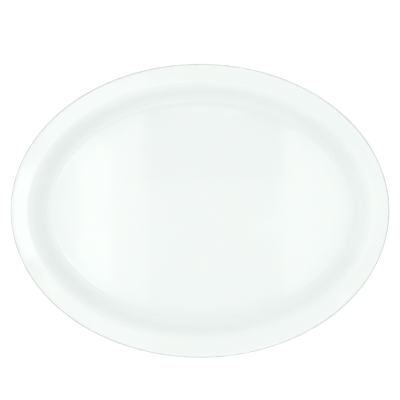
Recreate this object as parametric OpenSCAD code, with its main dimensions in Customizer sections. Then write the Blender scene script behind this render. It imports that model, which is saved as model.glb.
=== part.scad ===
// Oval china serving platter: a fired porcelain body, its two coats of glaze, a fine metal line
// on the lip and a plain printed mark under the base.
// Frame: origin at the middle of the foot's tread, +X along the platter, +Y across it, +Z up.

/* [Outline] */
// Overall length of the platter, lip to lip
platter_length = 343; // [338:1:346]
// Overall width of the platter, lip to lip
platter_width = 266; // [264:1:268]

/* [Profile] */
// Height from the tread of the foot to the top of the lip
platter_height = 23; // [21.5:0.5:25]
// Height of the well's floor above the tread
floor_z = 7; // [6.5:0.1:8]
// Distance from the lip to the edge of the flat floor
well_inset = 35; // [33:0.5:38]
// Slope of the rim, in degrees
rim_slope = 12; // [7:1:14]
// Slope of the shoulder between the rim and the well, in degrees
shoulder_slope = 47; // [40:1:52]
// Radius of the roll from the rim into the shoulder
roll_r = 12; // [9:1:14]
// Radius of the fillet from the shoulder into the floor
fillet_r = 12; // [9:1:14]
// Thickness of the glazed wall at the shoulder
wall = 4.2; // [3.6:0.1:4.6]
// Radius of the rounded lip, over the glaze
lip_r = 1.6; // [1.2:0.1:2]

/* [Foot] */
// Distance from the edge of the well's floor in to the outer edge of the foot
foot_step = 4; // [3.5:0.5:9]
// Width of the foot at the tread, before its corners are eased
tread_w = 4.4; // [3.6:0.1:6]
// Height of the recessed base above the tread
base_z = 2.2; // [1.8:0.1:2.6]
// Lean of the foot's two faces, in degrees
foot_draft = 15; // [5:1:25]

/* [Finish] */
// Thickness of the glaze coats
glaze_t = 0.3; // [0.25:0.05:0.5]
// Thickness of the metal line
band_t = 0.15; // [0.1:0.05:0.2]
// Angle of the metal line's lower edge around the lip, where 0 is the nose
band_low = -25; // [-50:1:-5]
// Angle of the metal line's upper edge around the lip, where 90 is the top
band_high = 66; // [45:1:85]
// Outer radius of the printed mark under the base
mark_r = 12; // [8:1:16]
// Thickness of the printed mark
mark_t = 0.12; // [0.1:0.01:0.2]

/* [Hidden] */
$fn = 180;

// The outline is an eight-centred oval: end, haunch and side arcs that meet in tangents.
// The arcs meet on normals along 4:3 and 5:12, so that every centre falls on a plain decimal.
end_normal = [4, 3] / 5;
side_normal = [5, 12] / 13;
half_l = platter_length / 2;
half_w = platter_width / 2;
// How much each arc's radius grows over the one before it. The two steps share out the difference
// between the half length and the half width: 2/5 of the first and 4/13 of the second.
haunch_step = 53;
side_step = (half_l - half_w - haunch_step * 2 / 5) * 13 / 4;
end_r = half_l - haunch_step * end_normal.x - side_step * side_normal.x;
haunch_r = end_r + haunch_step;
side_r = haunch_r + side_step;
end_c = [half_l - end_r, 0];
haunch_c = end_c - haunch_step * end_normal;
side_c = haunch_c - side_step * side_normal;
// Where the normal between haunch and side crosses the long axis
side_x = haunch_c.x - haunch_c.y * side_normal.x / side_normal.y;
// Reach and height of the shapes that trim each arc's disc, and how far in the section's flats run
wedge_reach = 260;
wedge_h = 60;
flat_reach = 240;

// Centres of the section's arcs, as [distance out from the outline, height]
lip_top = max(lip_r, (lip_r + band_t) * sin(band_high));
lip_c = [-lip_r - band_t, platter_height - lip_top];
fillet_c = [-well_inset, floor_z + fillet_r];
// The straight shoulder joins the fillet to the roll, and the straight rim joins the roll to the lip.
span_x = lip_c.x - lip_r * sin(rim_slope) + well_inset
    - fillet_r * sin(shoulder_slope) - roll_r * (sin(shoulder_slope) - sin(rim_slope));
span_z = lip_c.y + lip_r * cos(rim_slope) - floor_z
    - fillet_r * (1 - cos(shoulder_slope)) - roll_r * (cos(rim_slope) - cos(shoulder_slope));
shoulder_l = (span_z * cos(rim_slope) - span_x * sin(rim_slope)) / sin(shoulder_slope - rim_slope);
shoulder_dir = [cos(shoulder_slope), sin(shoulder_slope)];
shoulder_down = [sin(shoulder_slope), -cos(shoulder_slope)];
roll_c = fillet_c + (fillet_r + roll_r) * shoulder_down + shoulder_l * shoulder_dir;
// The rim's underside is the tangent common to the roll's inner arc and the lip
lip_from_roll = lip_c - roll_c;
under_slope = atan2(lip_from_roll.y, lip_from_roll.x)
    - asin((roll_r - wall + lip_r) / norm(lip_from_roll));

foot_inset = well_inset + foot_step;
// Radii of the fillets at the root of the foot, outside and inside, as a share of its height
root_share = 0.5;
root_out_r = (floor_z - wall) * root_share;
root_in_r = base_z * root_share;
root_out_z = floor_z - wall - root_out_r;
root_in_z = base_z - root_in_r;
root_out_c = [
    -foot_inset + root_out_z * tan(foot_draft) + root_out_r / cos(foot_draft),
    root_out_z
];
root_in_c = [
    -foot_inset - tread_w - root_in_z * tan(foot_draft) - root_in_r / cos(foot_draft),
    root_in_z
];
// The glaze is wiped off below this height, and the bare tread's corners are eased
glaze_end_z = 0.9;
ease = 0.4;

// Points of an arc about c, from angle a0 to a1
function arc(c, r, a0, a1, n = 8) =
    [for (i = [0:n]) let (a = a0 + (a1 - a0) * i / n) c + r * [cos(a), sin(a)]];

function reversed(points) = [for (i = [len(points) - 1:-1:0]) points[i]];

// Well, shoulder, rim, lip and back as far as the outside of the foot, e below the glazed surface
function main_curve(e) = concat(
    [[-flat_reach, floor_z - e]],
    arc(fillet_c, fillet_r + e, -90, shoulder_slope - 90),
    arc(roll_c, roll_r - e, 90 + shoulder_slope, 90 + rim_slope),
    arc(lip_c, lip_r - e, 90 + rim_slope, under_slope - 90, 12),
    arc(roll_c, roll_r - wall + e, 90 + under_slope, 90 + shoulder_slope),
    arc(fillet_c, fillet_r + wall - e, shoulder_slope - 90, -90),
    arc(root_out_c, root_out_r + e, 90, 180 - foot_draft, 4),
    [[foot_out_x(glaze_end_z, e), glaze_end_z]]
);

// Inside of the foot and the recessed base, e below the glazed surface
function base_curve(e) = concat(
    [[foot_in_x(glaze_end_z, e), glaze_end_z]],
    arc(root_in_c, root_in_r + e, foot_draft, 90, 4),
    [[-flat_reach, base_z + e]]
);

function foot_out_x(z, e) = -foot_inset + z * tan(foot_draft) - e / cos(foot_draft);
function foot_in_x(z, e) = -foot_inset - tread_w - z * tan(foot_draft) + e / cos(foot_draft);

// The bare tread with its eased corners
tread_curve = [
    [foot_out_x(ease, glaze_t), ease],
    [foot_out_x(0, glaze_t) - ease, 0],
    [foot_in_x(0, glaze_t) + ease, 0],
    [foot_in_x(ease, glaze_t), ease]
];

// One arc of the oval: the section turned about the arc's centre, kept inside a wedge
module turned(centre, radius, wedge) {
    intersection() {
        translate(centre) rotate_extrude() intersection() {
            translate([radius, 0]) children();
            translate([0, -wedge_h / 2]) square([wedge_reach, wedge_h]);
        }
        translate([0, 0, -wedge_h / 2]) linear_extrude(wedge_h) polygon(wedge);
    }
}

// The section swept round the oval, as eight turned pieces that meet on the arcs' common normals
module oval() {
    end_far = end_c + wedge_reach * end_normal;
    side_far = [side_x, 0] + wedge_reach * side_normal;
    for (side = [0, 1]) mirror([side, 0, 0]) {
        turned(end_c, end_r, [end_c, [end_far.x, -end_far.y], end_far]) children();
        for (across = [0, 1]) mirror([0, across, 0])
            turned(haunch_c, haunch_r, [[side_x, 0], end_c, end_far, side_far]) children();
    }
    for (across = [0, 1]) mirror([0, across, 0])
        turned(side_c, side_r, [
            [side_x, 0],
            side_far,
            [-side_far.x, side_far.y],
            [-side_x, 0]
        ]) children();
}

// The fired clay: well, shoulder, rim and foot in one piece, bare only at the tread
module porcelain_body() {
    color("ivory") oval() polygon(concat(
        main_curve(glaze_t),
        tread_curve,
        base_curve(glaze_t)
    ));
}

// Glaze over the face, round the lip and down the back to the foot's wiped edge
module main_glaze() {
    color("mintcream") oval() polygon(concat(main_curve(0), reversed(main_curve(glaze_t))));
}

// Glaze in the recess inside the foot
module base_glaze() {
    color("mintcream") oval() polygon(concat(base_curve(0), reversed(base_curve(glaze_t))));
}

// Fine metal line fired on to the nose of the lip
module edge_line() {
    color("lightgrey") oval() polygon(concat(
        arc(lip_c, lip_r, band_low, band_high),
        arc(lip_c, lip_r + band_t, band_high, band_low)
    ));
}

// Plain printed mark on the base: a six-petalled rosette in a ring, with no lettering
module backstamp() {
    ring_w = 0.7;
    hub_r = 1.2;
    petal_r = mark_r - ring_w / 2;
    color("slategray") translate([0, 0, base_z - mark_t]) linear_extrude(mark_t) {
        difference() {
            circle(mark_r);
            circle(mark_r - ring_w);
        }
        for (i = [0:5]) intersection() {
            rotate(60 * i) translate([petal_r, 0]) circle(petal_r);
            rotate(60 * (i + 2)) translate([petal_r, 0]) circle(petal_r);
        }
        circle(hub_r);
    }
}

porcelain_body();
main_glaze();
base_glaze();
edge_line();
backstamp();
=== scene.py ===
"""An oval china serving platter, seen from straight above under plain soft studio light.

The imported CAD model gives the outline, the height and the place. Its surfaces are rebuilt here as fine,
smooth meshes of the same section, so that the gloss of the glaze reads cleanly.
"""

import math

import bpy
import numpy as np
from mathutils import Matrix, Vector


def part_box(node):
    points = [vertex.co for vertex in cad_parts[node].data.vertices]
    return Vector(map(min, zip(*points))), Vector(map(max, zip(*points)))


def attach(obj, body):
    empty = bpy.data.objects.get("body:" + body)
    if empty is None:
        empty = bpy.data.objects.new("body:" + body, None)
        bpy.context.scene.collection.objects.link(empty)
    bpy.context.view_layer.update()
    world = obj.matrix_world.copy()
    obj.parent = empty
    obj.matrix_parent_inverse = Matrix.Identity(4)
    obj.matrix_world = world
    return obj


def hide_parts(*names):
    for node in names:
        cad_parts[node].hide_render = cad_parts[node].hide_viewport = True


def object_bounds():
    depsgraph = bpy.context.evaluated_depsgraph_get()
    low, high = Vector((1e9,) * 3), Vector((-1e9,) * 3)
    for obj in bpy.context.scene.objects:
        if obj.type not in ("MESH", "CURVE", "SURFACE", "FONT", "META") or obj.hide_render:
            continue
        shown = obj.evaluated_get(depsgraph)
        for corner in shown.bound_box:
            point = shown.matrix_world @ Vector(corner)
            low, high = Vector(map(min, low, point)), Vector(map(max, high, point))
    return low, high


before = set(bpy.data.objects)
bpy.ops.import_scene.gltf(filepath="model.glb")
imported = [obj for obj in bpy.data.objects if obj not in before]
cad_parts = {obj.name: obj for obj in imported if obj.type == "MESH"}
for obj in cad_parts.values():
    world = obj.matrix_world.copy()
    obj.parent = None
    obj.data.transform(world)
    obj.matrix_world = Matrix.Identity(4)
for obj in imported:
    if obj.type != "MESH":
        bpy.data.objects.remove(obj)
cad_low, cad_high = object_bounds()

MM = 0.001

# The outline and the height come from the CAD model, and so does the recessed base that the mark is on.
HALF_LENGTH = (cad_high.x - cad_low.x) / 2
HALF_WIDTH = (cad_high.y - cad_low.y) / 2
TOP = cad_high.z
BASE_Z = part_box("backstamp")[1].z

# The section from the lip to the middle has the CAD part's own dimensions.
GLAZE = 0.3 * MM  # thickness of the glaze
LINE = 0.15 * MM  # thickness of the metal line
LINE_LOW = math.radians(-25)  # where the line's edges are round the lip, with 0 at the nose
LINE_HIGH = math.radians(66)
LIP_R = 1.6 * MM
WALL = 4.2 * MM
WELL_INSET = 35 * MM
FLOOR_Z = 7 * MM
RIM_SLOPE = math.radians(12)
SHOULDER_SLOPE = math.radians(47)
ROLL_R = 12 * MM
FILLET_R = 12 * MM
FOOT_INSET = 39 * MM
TREAD_W = 4.4 * MM
FOOT_DRAFT = math.radians(15)
ROOT_OUT_R = (FLOOR_Z - WALL) / 2
ROOT_IN_R = BASE_Z / 2
WIPE_Z = 0.9 * MM  # the glaze is wiped off below this height
EASE = 0.4 * MM  # radius of the tread's corners

# Mesh density
AROUND = 480  # points in each loop round the outline
STEP = 1.5 * MM  # length of the steps along a straight stretch of the section
DISC_RINGS = 24  # loops between the edge of a flat floor and the middle
DISC_CROWDING = 0.8  # under 1, so that those loops lie closer together towards the edge
FILLET_STEPS = 14
ROLL_STEPS = 12
LIP_STEPS = 24
ROOT_STEPS = 8
EASE_STEPS = 5
LINE_STEPS = 16  # steps across the metal line
SHARP_ANGLE = math.radians(38)

# How the glaze pools in the fillet round the well, and at the roots of the foot
POOL_RISE = 1.2 * MM  # where it is deepest, over the well's floor
POOL_SPREAD = 2.2 * MM
POOL_REACH = 0.9  # where it starts, as a share of the way out to the edge of the floor
POOL_DEPTH = 0.25
ROOT_SPREAD = 1.1 * MM
ROOT_DEPTH = 0.8

# Handwork: how far the glaze's wiped edge and the metal line's upper edge waver, and in how many waves
WIPE_WAVER = 0.14 * MM
WIPE_WAVES = (3, 5, 8, 13, 21, 34)
LINE_WAVER = math.radians(2.2)
LINE_WAVES = (2, 3, 5, 9, 16, 27)

# Camera
VIEW_WIDTH = 362 * MM  # what the camera takes in across the platter's lip
LENS = 120
SENSOR = 36
CLIP = (0.05, 50)
STAND = (0, 9.8 * MM)  # how far right of and behind the platter's middle the camera stands

# Studio. Lengths are in metres.
FLOOR_GLOW = 0.2  # the light that the floor gives of its own
FLOOR_REACH = 12
SKY = 0.905  # brightness of the room
DIM_CORE = math.radians(9)  # the dim patch overhead is even inside this angle from straight up
DIM_EDGE = math.radians(17)  # and has faded out at this one
DIM_SHARE = 0.6  # its brightness, as a share of the room's
WALL_SIZE = (1.6, 1.0)
WALL_REACH = 1.3
WALL_Z = 0.5
RIG_Z = 1.2  # height of the softboxes beside the camera
HIGH_Z = 2.4  # height of those above it
RIG_GAP = 0.02  # one softbox hangs this far below another that it overlaps


def direction(angle):
    return np.array([math.cos(angle), math.sin(angle)])


def arc(centre, radius, start, end, steps):
    """Points on an arc of the section, both ends included. Angles are in radians."""
    return [centre + radius * direction(a) for a in np.linspace(start, end, steps + 1)]


def chain(*runs):
    """Runs of section points, with the straight stretches between them cut into short steps."""
    points = list(runs[0])
    for run in runs[1:]:
        start, end = points[-1], run[0]
        cuts = max(1, round(float(np.linalg.norm(end - start)) / STEP))
        points += [start + (end - start) * i / cuts for i in range(1, cuts)]
        points += run
    return points


# Centres of the section's arcs, as distance out from the outline and height
QUARTER = math.pi / 2
LIP_C = np.array([-LIP_R - LINE, TOP - LIP_R])
FILLET_C = np.array([-WELL_INSET, FLOOR_Z + FILLET_R])


def roll_centre():
    """Where the roll between the rim and the shoulder has its centre, so that both stay straight."""
    rim_start = LIP_C + LIP_R * direction(QUARTER + RIM_SLOPE)
    fillet_end = FILLET_C + FILLET_R * direction(SHOULDER_SLOPE - QUARTER)
    rolled = ROLL_R * (direction(QUARTER + RIM_SLOPE) - direction(QUARTER + SHOULDER_SLOPE))
    across, rise = rim_start - fillet_end - rolled
    shoulder = (rise * math.cos(RIM_SLOPE) - across * math.sin(RIM_SLOPE)) / math.sin(
        SHOULDER_SLOPE - RIM_SLOPE
    )
    shoulder_end = fillet_end + shoulder * direction(SHOULDER_SLOPE)
    return shoulder_end - ROLL_R * direction(QUARTER + SHOULDER_SLOPE)


ROLL_C = roll_centre()
TO_LIP = LIP_C - ROLL_C
UNDER_SLOPE = math.atan2(TO_LIP[1], TO_LIP[0]) - math.asin(
    (ROLL_R - WALL + LIP_R) / float(np.linalg.norm(TO_LIP))
)
ROOT_OUT_Z = FLOOR_Z - WALL - ROOT_OUT_R
ROOT_IN_Z = BASE_Z - ROOT_IN_R
LEAN = math.tan(FOOT_DRAFT)
ROOT_OUT_C = np.array(
    [-FOOT_INSET + ROOT_OUT_Z * LEAN + ROOT_OUT_R / math.cos(FOOT_DRAFT), ROOT_OUT_Z]
)
ROOT_IN_C = np.array(
    [-FOOT_INSET - TREAD_W - ROOT_IN_Z * LEAN - ROOT_IN_R / math.cos(FOOT_DRAFT), ROOT_IN_Z]
)


def foot_out(z, depth):
    return np.array([-FOOT_INSET + z * LEAN - depth / math.cos(FOOT_DRAFT), z])


def foot_in(z, depth):
    return np.array([-FOOT_INSET - TREAD_W - z * LEAN + depth / math.cos(FOOT_DRAFT), z])


def main_curve(depth):
    """From the edge of the well's floor over the lip to the outside of the foot, depth under the glaze."""
    return chain(
        arc(FILLET_C, FILLET_R + depth, -QUARTER, SHOULDER_SLOPE - QUARTER, FILLET_STEPS),
        arc(ROLL_C, ROLL_R - depth, QUARTER + SHOULDER_SLOPE, QUARTER + RIM_SLOPE, ROLL_STEPS),
        arc(LIP_C, LIP_R - depth, QUARTER + RIM_SLOPE, UNDER_SLOPE - QUARTER, LIP_STEPS),
        arc(
            ROLL_C,
            ROLL_R - WALL + depth,
            QUARTER + UNDER_SLOPE,
            QUARTER + SHOULDER_SLOPE,
            ROLL_STEPS,
        ),
        arc(FILLET_C, FILLET_R + WALL - depth, SHOULDER_SLOPE - QUARTER, -QUARTER, FILLET_STEPS),
        arc(ROOT_OUT_C, ROOT_OUT_R + depth, QUARTER, math.pi - FOOT_DRAFT, ROOT_STEPS),
        [foot_out(WIPE_Z, depth)],
    )


def base_curve(depth):
    """From the inside of the foot to the recessed base, depth under the glaze."""
    return chain(
        [foot_in(WIPE_Z, depth)],
        arc(ROOT_IN_C, ROOT_IN_R + depth, FOOT_DRAFT, QUARTER, ROOT_STEPS),
    )


def tread_curve():
    """The bare tread, with eased corners."""
    out_c = foot_out(EASE, GLAZE) - np.array([EASE, 0])
    in_c = foot_in(EASE, GLAZE) + np.array([EASE, 0])
    return chain(
        arc(out_c, EASE, 0, -QUARTER, EASE_STEPS),
        arc(in_c, EASE, -QUARTER, -math.pi, EASE_STEPS),
    )


ANGLES = np.linspace(0, 2 * math.pi, AROUND, endpoint=False)


def ring(out, z):
    """A closed loop that runs parallel to the platter's elliptical outline, out from it and at height z.
    Both may be one number or a number for each point of the loop."""
    x, y = HALF_LENGTH * np.cos(ANGLES), HALF_WIDTH * np.sin(ANGLES)
    nx, ny = HALF_WIDTH * np.cos(ANGLES), HALF_LENGTH * np.sin(ANGLES)
    size = np.hypot(nx, ny)
    return np.stack([x + out * nx / size, y + out * ny / size, np.broadcast_to(z, AROUND)], axis=1)


def disc(edge):
    """Loops that shrink from a flat edge loop towards the middle, nearest the middle first."""
    middle = np.array([0, 0, edge[0, 2]])
    shares = np.linspace(0, 1, DISC_RINGS + 1)[1:-1] ** DISC_CROWDING
    return [middle + (edge - middle) * share for share in shares]


def add(name, data):
    """Puts a mesh, a light or a camera into the scene as an object."""
    made = bpy.data.objects.new(name, data)
    bpy.context.scene.collection.objects.link(made)
    return made


def skin(name, loops, closed=False):
    """A smooth mesh over loops of equal length. It joins the last loop to the first if it is closed.
    Otherwise the first and last loops are capped at the middle of the platter."""
    verts = np.concatenate(loops)
    count = len(loops)
    here = np.arange(AROUND)
    after = np.roll(here, -1)
    faces = []
    for i in range(count if closed else count - 1):
        a, b = i * AROUND, (i + 1) % count * AROUND
        faces.append(np.stack([a + here, b + here, b + after, a + after], axis=1))
    faces = np.concatenate(faces).tolist()
    if not closed:
        first, last = len(verts), len(verts) + 1
        ends = [[0, 0, loops[0][0, 2]], [0, 0, loops[-1][0, 2]]]
        verts = np.concatenate([verts, ends])
        tail = (count - 1) * AROUND
        faces += [[first, i, j] for i, j in zip(here.tolist(), after.tolist())]
        faces += [[last, tail + j, tail + i] for i, j in zip(here.tolist(), after.tolist())]
    mesh = bpy.data.meshes.new(name)
    mesh.from_pydata(verts.tolist(), [], faces)
    mesh.validate()
    mesh.shade_smooth()
    mesh.set_sharp_from_angle(angle=SHARP_ANGLE)
    return add(name, mesh)


def wander(seed, waves):
    """A smooth closed wobble round the outline, from -1 to 1. waves says how often each part repeats."""
    rng = np.random.default_rng(seed)
    total = np.zeros(AROUND)
    for wave in waves:
        total += rng.uniform(0.5, 1) * np.sin(wave * ANGLES + rng.uniform(0, 2 * math.pi))
    return total / np.abs(total).max()


def give(piece, material, node):
    """Puts a piece on the platter's one body, in place of its CAD node."""
    piece.data.materials.append(material)
    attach(piece, "root")
    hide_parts(node)


# Materials

class Shader:
    """A small helper that makes and wires the nodes of one material."""

    def __init__(self, name):
        self.material = bpy.data.materials.new(name)
        self.material.use_nodes = True
        self.tree = self.material.node_tree
        self.main = self.tree.nodes["Principled BSDF"]
        self.place = self.tree.nodes.new("ShaderNodeTexCoord").outputs["Object"]

    def node(self, kind, inputs=None, **settings):
        made = self.tree.nodes.new(kind)
        for key, value in settings.items():
            setattr(made, key, value)
        for key, value in (inputs or {}).items():
            self.put(made.inputs[key], value)
        return made

    def put(self, socket, value):
        if isinstance(value, bpy.types.NodeSocket):
            self.tree.links.new(value, socket)
        else:
            socket.default_value = value

    def set(self, **values):
        """Sets the Principled shader's sockets. An underscore stands for a space."""
        for key, value in values.items():
            self.put(self.main.inputs[key.replace("_", " ")], value)

    def noise(self, size, detail=2.0, roughness=0.5):
        """Noise from 0 to 1 whose features are about size metres across."""
        return self.node(
            "ShaderNodeTexNoise",
            {
                "Vector": self.place,
                "Scale": 1 / size,
                "Detail": detail,
                "Roughness": roughness,
            },
        ).outputs["Fac"]

    def spots(self, spacing, radius):
        """Round spots, 1 inside and 0 outside, one in each cell of about the spacing."""
        cells = self.node("ShaderNodeTexVoronoi", {"Vector": self.place, "Scale": 1 / spacing})
        return self.ramp(cells.outputs["Distance"], radius / spacing, 0.6 * radius / spacing)

    def ramp(self, value, low, high, out_low=0.0, out_high=1.0):
        """Maps low..high to out_low..out_high, clamped."""
        return self.node(
            "ShaderNodeMapRange",
            {
                "Value": value,
                "From Min": low,
                "From Max": high,
                "To Min": out_low,
                "To Max": out_high,
            },
            interpolation_type="SMOOTHSTEP",
        ).outputs["Result"]

    def math(self, operation, a, b):
        made = self.node("ShaderNodeMath", operation=operation)
        self.put(made.inputs[0], a)
        self.put(made.inputs[1], b)
        return made.outputs["Value"]

    def mix(self, share, a, b):
        made = self.node("ShaderNodeMix", data_type="RGBA")
        self.put(made.inputs["Factor"], share)
        self.put(made.inputs["A"], a)
        self.put(made.inputs["B"], b)
        return made.outputs["Result"]

    def bump(self, height, distance, under=None):
        """A bumped normal. under is the normal that the bump lies on, where there is another."""
        inputs = {"Height": height, "Distance": distance, "Strength": 1.0}
        if under is not None:
            inputs["Normal"] = under
        return self.node("ShaderNodeBump", inputs).outputs["Normal"]


def rgb(r, g, b):
    return (r, g, b, 1.0)


def glaze_material():
    """Clear gloss glaze over white porcelain. It pools a little deeper and cooler in hollows."""
    s = Shader("gloss_glaze")
    white = rgb(0.80, 0.845, 0.822)
    pooled = rgb(0.735, 0.80, 0.77)
    milky = rgb(0.815, 0.85, 0.83)
    fleck = rgb(0.42, 0.38, 0.33)
    deep = s.node("ShaderNodeAttribute", attribute_name="pool").outputs["Fac"]
    cloud = s.noise(45 * MM, detail=3)
    pool_share = s.math("MULTIPLY", deep, s.ramp(cloud, 0.3, 0.7, 0.55, 1.0))
    tone = s.mix(pool_share, white, pooled)
    mottle = s.ramp(s.noise(14 * MM, detail=3), 0.35, 0.75, 0.0, 0.35)
    mottled = s.mix(mottle, tone, milky)
    flecks = s.math(
        "MULTIPLY",
        s.spots(19 * MM, 0.16 * MM),
        s.ramp(s.noise(31 * MM), 0.5, 0.58, 0.0, 0.7),
    )
    colour = s.mix(flecks, mottled, fleck)
    peel = s.noise(5.5 * MM, detail=1.5)
    wave = s.noise(38 * MM, detail=1)
    waved = s.bump(wave, 0.16 * MM)
    peeled = s.bump(peel, 0.012 * MM, under=waved)
    s.set(
        Base_Color=colour,
        Roughness=s.ramp(s.noise(24 * MM, detail=4), 0.3, 0.7, 0.30, 0.38),
        Specular_IOR_Level=0.25,
        Normal=waved,
        Coat_Weight=1.0,
        Coat_Roughness=0.05,
        Coat_IOR=1.5,
        Coat_Normal=peeled,
    )
    return s.material


def clay_material():
    """Bare fired porcelain: matt, off-white, finely grained and specked, greyed in patches by rubbing."""
    s = Shader("bare_porcelain")
    dull, pale = rgb(0.72, 0.70, 0.655), rgb(0.80, 0.785, 0.745)
    grimy = rgb(0.47, 0.455, 0.44)
    speck = rgb(0.30, 0.26, 0.22)
    clay = s.mix(s.ramp(s.noise(7 * MM, detail=4), 0.3, 0.7), dull, pale)
    rub = s.ramp(s.noise(16 * MM, detail=5, roughness=0.65), 0.56, 0.74, 0, 0.55)
    grit = s.math("MULTIPLY", s.spots(1.7 * MM, 0.14 * MM), 0.6)
    colour = s.mix(grit, s.mix(rub, clay, grimy), speck)
    grain = s.noise(0.45 * MM, detail=3)
    s.set(
        Base_Color=colour,
        Roughness=s.ramp(grain, 0.3, 0.7, 0.68, 0.85),
        Normal=s.bump(grain, 0.05 * MM),
    )
    return s.material


def line_material():
    """A burnished metal line, brushed on by hand: a little thin in places and half worn off in others."""
    s = Shader("metal_line")
    thin, full = rgb(0.56, 0.55, 0.53), rgb(0.68, 0.67, 0.65)
    glaze_below = rgb(0.74, 0.76, 0.745)
    drawn = s.noise(9 * MM, detail=4)
    tone = s.mix(s.ramp(drawn, 0.3, 0.72), thin, full)
    worn = s.ramp(s.noise(6 * MM, detail=6, roughness=0.7), 0.62, 0.72, 0, 0.6)
    fine = s.noise(0.7 * MM, detail=2)
    s.set(
        Base_Color=s.mix(worn, tone, glaze_below),
        Metallic=s.ramp(worn, 0, 0.6, 1.0, 0.55),
        Roughness=s.ramp(drawn, 0.3, 0.72, 0.34, 0.22),
        Normal=s.bump(fine, 0.012 * MM, under=s.bump(drawn, 0.04 * MM)),
    )
    return s.material


def ink_material():
    """Printed ink under gloss, a little uneven as a stamp leaves it."""
    s = Shader("stamp_ink")
    inked, starved = rgb(0.13, 0.20, 0.235), rgb(0.27, 0.36, 0.39)
    patchy = s.ramp(s.noise(1.6 * MM, detail=5, roughness=0.7), 0.42, 0.7)
    s.set(
        Base_Color=s.mix(patchy, inked, starved),
        Roughness=s.ramp(patchy, 0, 1, 0.30, 0.42),
        Specular_IOR_Level=0.25,
        Coat_Weight=1.0,
        Coat_Roughness=0.04,
        Coat_IOR=1.5,
        Normal=s.bump(patchy, 0.02 * MM),
    )
    return s.material


def floor_material():
    """A pale floor that gives a little light of its own, as a lit table does."""
    s = Shader("pale_floor")
    cloud = s.noise(0.5, detail=2)
    grey, paler = rgb(0.86, 0.86, 0.86), rgb(0.88, 0.88, 0.88)
    s.set(
        Base_Color=s.mix(cloud, grey, paler),
        Roughness=0.9,
        Specular_IOR_Level=0.1,
        Emission_Color=rgb(1, 1, 1),
        Emission_Strength=FLOOR_GLOW,
    )
    return s.material


# Pieces

def pooling(piece):
    """Marks where the glaze pools: in the fillet round the well and at the roots of the foot."""
    co = np.zeros(len(piece.data.vertices) * 3, np.float32)
    piece.data.vertices.foreach_get("co", co)
    co = co.reshape(-1, 3)
    x, y, z = co.T
    # 1 at the edge of the well's floor, near enough for a soft mark
    reach = np.hypot(x / (HALF_LENGTH - WELL_INSET), y / (HALF_WIDTH - WELL_INSET))
    hollow = np.exp(-(((z - FLOOR_Z - POOL_RISE) / POOL_SPREAD) ** 2)) * (reach > POOL_REACH)
    root = np.exp(-(((z - BASE_Z) / ROOT_SPREAD) ** 2))
    amount = np.clip(POOL_DEPTH * hollow + ROOT_DEPTH * root, 0, 1).astype(np.float32)
    mark = piece.data.attributes.new("pool", "FLOAT", "POINT")
    mark.data.foreach_set("value", amount)


def coat(name, outer, inner, edge_seed, capped):
    """A coat of glaze as a closed skin: its outer loops, then its inner ones back again.
    capped says at which end the loops run on to the platter's middle."""
    wipe = WIPE_WAVER * wander(edge_seed, WIPE_WAVES)
    outer, inner = [ring(*p) for p in outer], [ring(*p) for p in inner]
    edge = -1 if capped == "start" else 0
    outer[edge][:, 2] += wipe
    inner[edge][:, 2] += wipe
    if capped == "start":
        loops = disc(outer[0]) + outer + inner[::-1] + disc(inner[0])[::-1]
    else:
        loops = disc(inner[-1]) + inner[::-1] + outer + disc(outer[-1])[::-1]
    piece = skin(name, loops)
    pooling(piece)
    return piece


def metal_line():
    """The line's section is a thin swelling on the lip. Its upper edge wanders as a brush does."""
    drift = LINE_WAVER * wander(7, LINE_WAVES)
    under, over = [], []
    for share in np.linspace(0, 1, LINE_STEPS + 1):
        angle = LINE_LOW + (LINE_HIGH - LINE_LOW + drift) * share
        # Even across most of the line, and down to nothing at both edges
        swell = LINE * (1 - abs(2 * share - 1) ** 6)
        for loops, radius in ((under, LIP_R), (over, LIP_R + swell)):
            loops.append(ring(LIP_C[0] + radius * np.cos(angle), LIP_C[1] + radius * np.sin(angle)))
    return skin("metal_line", under + over[-2:0:-1], closed=True)


def platter():
    glaze = glaze_material()
    body_loops = [ring(*p) for p in chain(main_curve(GLAZE), tread_curve(), base_curve(GLAZE))]
    body = skin("fired_body", disc(body_loops[0]) + body_loops + disc(body_loops[-1])[::-1])
    give(body, clay_material(), "porcelain_body")
    main = coat("face_and_back_glaze", main_curve(0), main_curve(GLAZE), 3, capped="start")
    give(main, glaze, "main_glaze")
    base = coat("recess_glaze", base_curve(0), base_curve(GLAZE), 4, capped="end")
    give(base, glaze, "base_glaze")
    give(metal_line(), line_material(), "edge_line")
    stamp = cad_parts["backstamp"]
    stamp.data.materials.clear()
    stamp.data.materials.append(ink_material())


# Studio

def studio_floor():
    signs = ((-1, -1), (1, -1), (1, 1), (-1, 1))
    corners = [(x * FLOOR_REACH, y * FLOOR_REACH, 0) for x, y in signs]
    mesh = bpy.data.meshes.new("floor")
    mesh.from_pydata(corners, [], [(0, 1, 2, 3)])
    piece = add("floor", mesh)
    mesh.materials.append(floor_material())


def softbox(name, brightness, size, place, faces_down=False):
    """A soft rectangular light. Its brightness is what a mirror would show of it.
    It faces the platter, or straight down, when its size runs along X and Y."""
    light = bpy.data.lights.new(name, "AREA")
    light.shape = "RECTANGLE"
    light.size, light.size_y = size
    light.energy = brightness * math.pi * size[0] * size[1]
    lamp = add(name, light)
    lamp.location = place
    if not faces_down:
        towards = Vector((0, 0, FLOOR_Z)) - Vector(place)
        lamp.rotation_euler = towards.to_track_quat("-Z", "Y").to_euler()
    lamp.visible_camera = False


def overhead(name, brightness, x, y, z=RIG_Z):
    """A softbox that faces straight down. x is where its left and right sides are, y its front and back."""
    size = (x[1] - x[0], y[1] - y[0])
    place = ((x[0] + x[1]) / 2, (y[0] + y[1]) / 2, z)
    softbox(name, brightness, size, place, faces_down=True)


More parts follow.
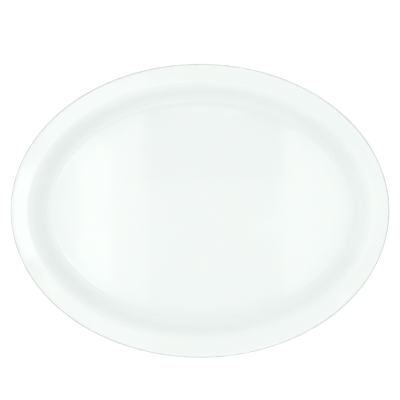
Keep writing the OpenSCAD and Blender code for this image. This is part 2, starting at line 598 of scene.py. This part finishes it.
def pale_room():
    """A white room that is dim straight overhead, where the camera and its stand are."""
    world = bpy.data.worlds.new("pale_room")
    bpy.context.scene.world = world
    world.use_nodes = True
    tree = world.node_tree
    background = tree.nodes["Background"]
    place = tree.nodes.new("ShaderNodeTexCoord")
    split = tree.nodes.new("ShaderNodeSeparateXYZ")
    dim = tree.nodes.new("ShaderNodeMapRange")
    dim.interpolation_type = "SMOOTHSTEP"
    # The height of a direction is the cosine of its angle from straight up.
    for socket, value in (
        ("From Min", math.cos(DIM_EDGE)),
        ("From Max", math.cos(DIM_CORE)),
        ("To Min", 1.0),
        ("To Max", DIM_SHARE),
    ):
        dim.inputs[socket].default_value = value
    tree.links.new(place.outputs["Generated"], split.inputs["Vector"])
    tree.links.new(split.outputs["Z"], dim.inputs["Value"])
    tree.links.new(dim.outputs["Result"], background.inputs["Color"])
    background.inputs["Strength"].default_value = SKY


def walls():
    """Low softboxes on the four sides, which light the slopes of the rim and the shoulder."""
    softbox("left_wall", 0.42, WALL_SIZE, (-WALL_REACH, 0, WALL_Z))
    softbox("right_wall", 0.20, WALL_SIZE, (WALL_REACH, 0, WALL_Z))
    softbox("back_wall", 0.33, WALL_SIZE, (0, WALL_REACH, WALL_Z))
    softbox("front_wall", 0.32, WALL_SIZE, (0, -WALL_REACH, WALL_Z))


def rig():
    """Softboxes round the camera, which the gloss of the well and the rim mirrors."""
    overhead("left_core", 0.55, x=(-0.324, -0.222), y=(-0.262, 0.147), z=HIGH_Z - RIG_GAP)
    overhead("left_edge", 1.12, x=(-0.324, -0.148), y=(-0.308, 0.283), z=HIGH_Z)
    overhead("left_outer", 1.12, x=(-0.31, -0.214), y=(-0.30, 0.30))
    overhead("left_step", 0.45, x=(-0.214, -0.17), y=(-0.24, 0.20))
    overhead("left_far", 0.85, x=(-0.68, -0.43), y=(-0.22, 0.20))
    overhead("right_box", 1.20, x=(0.149, 0.36), y=(-0.20, 0.20))
    overhead("right_high", 0.7, x=(0.46, 0.64), y=(-0.30, 0.30), z=HIGH_Z)
    overhead("right_back", 0.60, x=(0.02, 0.36), y=(0.20, 0.50))
    overhead("right_front", 0.90, x=(0.02, 0.36), y=(-0.50, -0.20))
    overhead("right_strip", 1.0, x=(0.105, 0.149), y=(-0.052, -0.024))
    overhead("back_bar", 0.95, x=(-0.098, 0.149), y=(0.165, 0.20))
    overhead("front_bar", 0.45, x=(-0.098, 0.149), y=(-0.20, -0.165))
    overhead("front_top", 0.40, x=(-0.098, 0.149), y=(-0.165, 0.045))
    overhead("front_outer", 0.53, x=(-0.35, 0.35), y=(-0.95, -0.50))
    overhead("back_outer", 0.31, x=(-0.35, 0.35), y=(0.50, 0.95))


def studio():
    scene = bpy.context.scene
    scene.view_settings.view_transform = "Standard"
    scene.view_settings.look = "None"
    pale_room()
    walls()
    rig()


def camera():
    """Looks straight down, with the platter's far side at the top of the picture."""
    data = bpy.data.cameras.new("camera")
    data.lens, data.sensor_width = LENS, SENSOR
    data.clip_start, data.clip_end = CLIP
    eye = add("camera", data)
    eye.location = (*STAND, LIP_C[1] + VIEW_WIDTH * LENS / SENSOR)
    bpy.context.scene.camera = eye


platter()
studio_floor()
studio()
camera()
